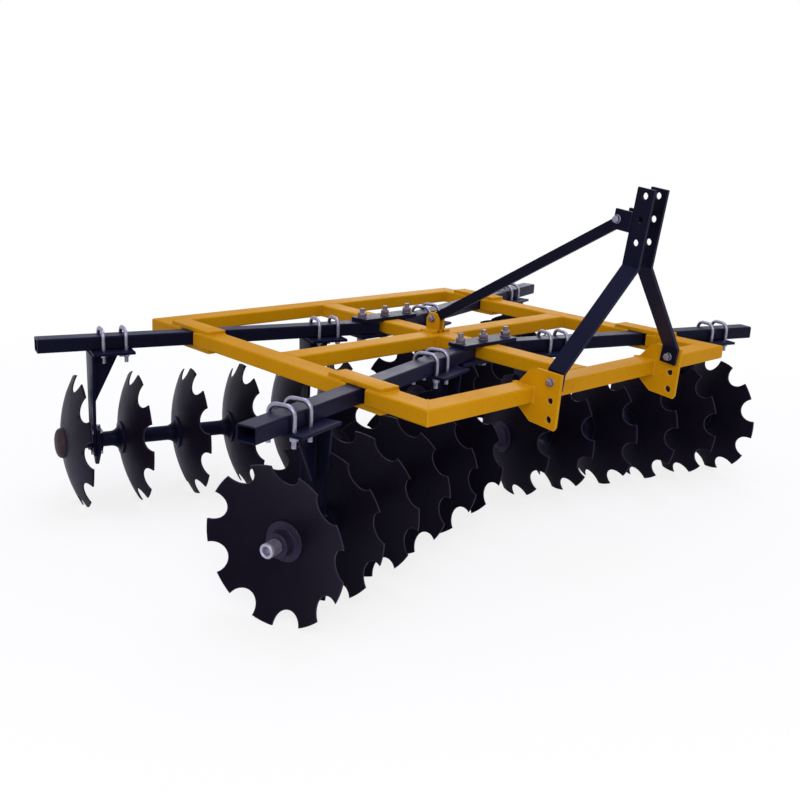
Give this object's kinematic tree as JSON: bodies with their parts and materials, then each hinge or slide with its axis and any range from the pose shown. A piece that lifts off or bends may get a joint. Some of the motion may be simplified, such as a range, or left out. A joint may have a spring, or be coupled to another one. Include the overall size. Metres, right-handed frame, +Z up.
{
  "type": "mounted tandem disc harrow",
  "caption": "Three-point mounted tandem disc harrow: gangs of notched discs under an open box frame, with slotted gang beams, bearing hangers, hitch brackets and a braced mast.",
  "frame": {"origin": "on the ground under the middle of the machine's overall box", "axes": "+Z up, -Y towards the tractor, +X to the side, the gangs' left and right being -X and +X"},
  "size_m": [3.1084, 2.0557, 1.4586],
  "materials": {
    "yellow_paint": "satin",
    "black_paint": "satin",
    "zinc_plating": "satin",
    "bare_steel": "satin"
  },
  "bodies": {
    "frame": {"front_rail": "yellow_paint", "rear_rail": "yellow_paint", "side_rail_left": "yellow_paint", "side_rail_right": "yellow_paint", "middle_rail": "yellow_paint", "centre_rail": "yellow_paint", "slot_plates_left": "yellow_paint", "slot_plates_right": "yellow_paint", "pivot_plates_front": "black_paint", "pivot_plates_rear": "black_paint", "pivot_bolts": "zinc_plating", "hitch_bracket_left": "yellow_paint", "hitch_bracket_right": "yellow_paint", "mast_bar_left": "black_paint", "mast_bar_right": "black_paint", "mast_brace": "black_paint", "mast_plates": "black_paint", "mast_bolts": "zinc_plating", "brace_lugs": "yellow_paint"},
    "beam_front_left_body": {"beam_front_left": "black_paint", "hangers_front_left": "black_paint", "u_bolts_front_left": "zinc_plating"},
    "gang_front_left": {"discs_front_left": "black_paint", "spools_front_left": "black_paint", "shaft_front_left": "bare_steel"},
    "beam_front_right_body": {"beam_front_right": "black_paint", "hangers_front_right": "black_paint", "u_bolts_front_right": "zinc_plating"},
    "gang_front_right": {"discs_front_right": "black_paint", "spools_front_right": "black_paint", "shaft_front_right": "bare_steel"},
    "beam_rear_left_body": {"beam_rear_left": "black_paint", "hangers_rear_left": "black_paint", "u_bolts_rear_left": "zinc_plating"},
    "gang_rear_left": {"discs_rear_left": "black_paint", "spools_rear_left": "black_paint", "shaft_rear_left": "bare_steel"},
    "beam_rear_right_body": {"beam_rear_right": "black_paint", "hangers_rear_right": "black_paint", "u_bolts_rear_right": "zinc_plating"},
    "gang_rear_right": {"discs_rear_right": "black_paint", "spools_rear_right": "black_paint", "shaft_rear_right": "bare_steel"}
  },
  "joints": [
    {"name": "beam_swing_front_left", "type": "hinge", "parent": "frame", "child": "beam_front_left_body", "pos_m": [-0.144, -0.2256, 0.704], "axis": [0, 0, 1], "range_deg": [0, 0.9]},
    {"name": "gang_roll_front_left", "type": "hinge", "parent": "beam_front_left_body", "child": "gang_front_left", "pos_m": [-0.80838, -0.42619, 0.28], "axis": [-0.9573, -0.289, 0], "continuous": true},
    {"name": "beam_swing_front_right", "type": "hinge", "parent": "frame", "child": "beam_front_right_body", "pos_m": [0.144, -0.2256, 0.704], "axis": [0, 0, -1], "range_deg": [0, 0.9]},
    {"name": "gang_roll_front_right", "type": "hinge", "parent": "beam_front_right_body", "child": "gang_front_right", "pos_m": [0.80838, -0.42619, 0.28], "axis": [0.9573, -0.289, 0], "continuous": true},
    {"name": "beam_swing_rear_left", "type": "hinge", "parent": "frame", "child": "beam_rear_left_body", "pos_m": [-0.144, 0.4094, 0.704], "axis": [0, 0, -1], "range_deg": [0, 0.9]},
    {"name": "gang_roll_rear_left", "type": "hinge", "parent": "beam_rear_left_body", "child": "gang_rear_left", "pos_m": [-0.81244, 0.59603, 0.28], "axis": [-0.9632, 0.2689, 0], "continuous": true},
    {"name": "beam_swing_rear_right", "type": "hinge", "parent": "frame", "child": "beam_rear_right_body", "pos_m": [0.144, 0.4094, 0.704], "axis": [0, 0, 1], "range_deg": [0, 0.9]},
    {"name": "gang_roll_rear_right", "type": "hinge", "parent": "beam_rear_right_body", "child": "gang_rear_right", "pos_m": [0.81244, 0.59603, 0.28], "axis": [0.9632, 0.2689, 0], "continuous": true}
  ]
}
